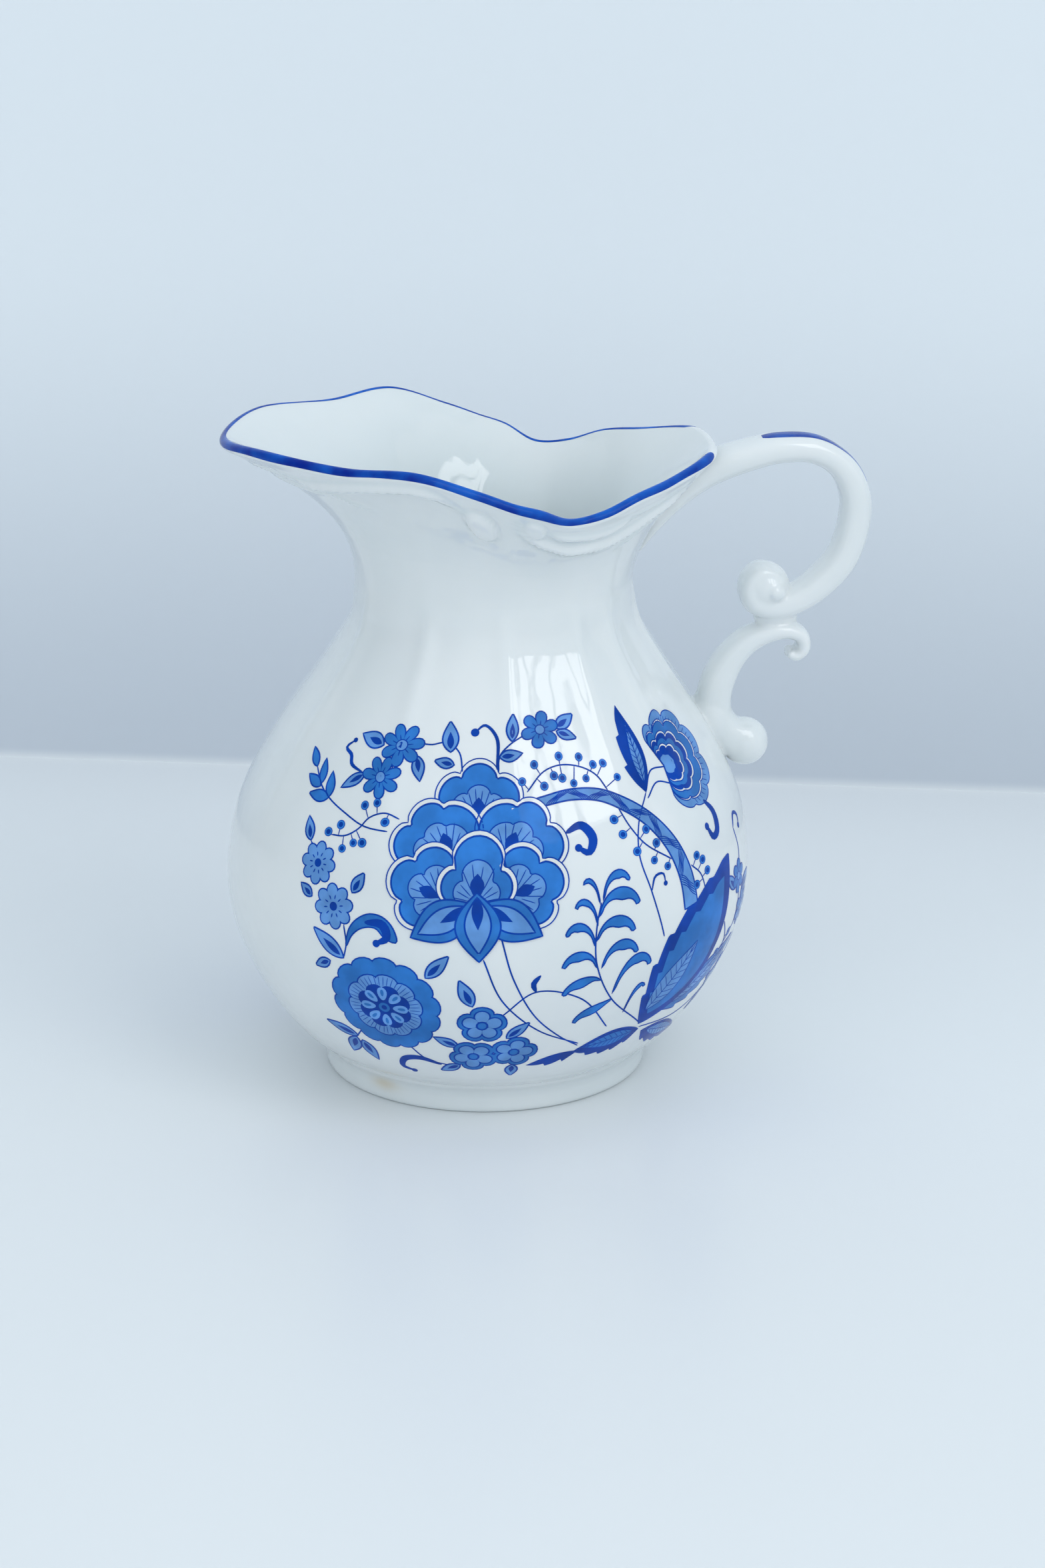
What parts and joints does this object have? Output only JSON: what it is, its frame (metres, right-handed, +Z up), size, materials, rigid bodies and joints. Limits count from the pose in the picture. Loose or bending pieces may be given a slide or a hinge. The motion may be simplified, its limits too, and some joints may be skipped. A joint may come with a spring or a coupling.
{
  "type": "porcelain cream jug",
  "caption": "Pear-shaped porcelain cream jug with wavy spouted rim, double-scroll handle, foot ring and blue floral transfers.",
  "frame": {"origin": "bottom centre of the jug's overall box, on the plane that the foot ring stands on", "axes": "+Z up, -X towards the spout, +X towards the handle, the jug's side faces along Y"},
  "size_m": [0.1044, 0.0856, 0.1062],
  "materials": {
    "glazed_porcelain": "gloss",
    "foot_porcelain": "gloss with an unglazed rim underneath",
    "cobalt_enamel": "gloss",
    "printed_blue": "gloss"
  },
  "bodies": {
    "root": {"body": "glazed_porcelain", "foot_ring": "foot_porcelain", "handle_upper_scroll": "glazed_porcelain", "handle_lower_scroll": "glazed_porcelain", "rim_luting": "glazed_porcelain", "belly_luting": "glazed_porcelain", "scroll_luting": "glazed_porcelain", "rim_line": "cobalt_enamel", "handle_line": "cobalt_enamel", "front_transfer": "printed_blue", "back_transfer": "printed_blue"}
  },
  "joints": []
}
